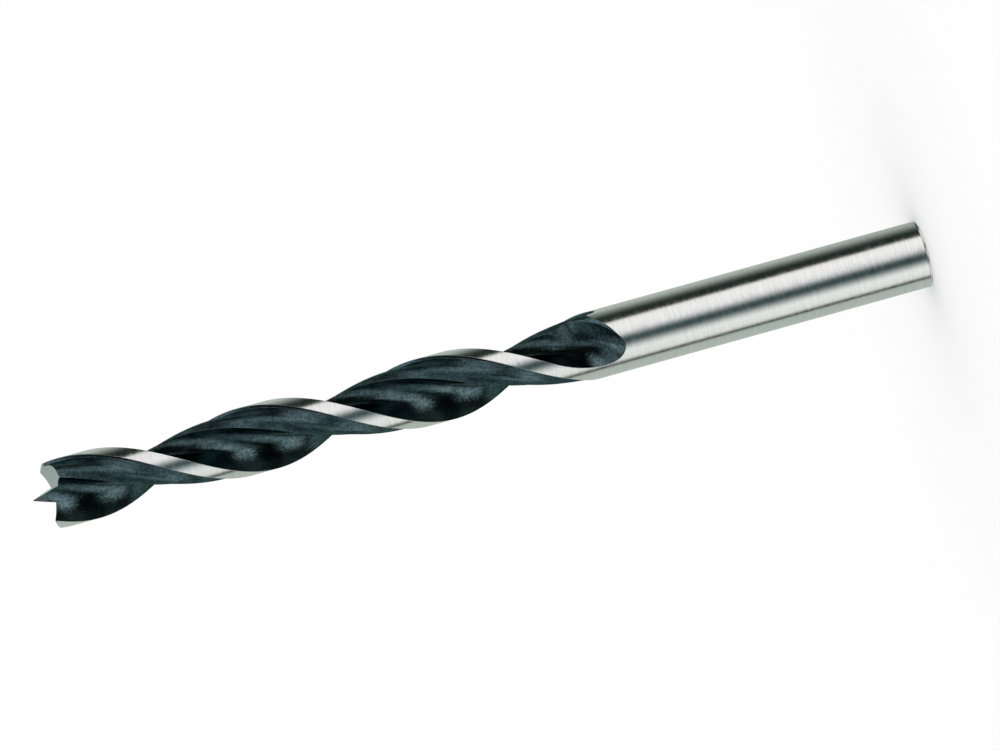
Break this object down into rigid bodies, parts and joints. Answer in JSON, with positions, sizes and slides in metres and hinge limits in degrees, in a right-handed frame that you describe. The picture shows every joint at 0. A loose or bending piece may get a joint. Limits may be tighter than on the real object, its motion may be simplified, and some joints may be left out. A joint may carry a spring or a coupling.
{
  "type": "brad point drill bit",
  "caption": "Drill bit for wood: a plain round shank, two deep spiral flutes with bright lands and dark hollows, a sharp centre point and a cutting spur at each side",
  "frame": {"origin": "centre of the flat end of the shank, on which the bit stands", "axes": "+Z runs along the axis from the shank to the point; at the height of the spurs, which are opposite each other, one spur is 43 degrees from +X towards +Y"},
  "size_m": [0.01, 0.01, 0.135],
  "materials": {
    "tool_steel": "satin"
  },
  "bodies": {
    "root": {"brad_point_bit": "tool_steel"}
  },
  "joints": []
}
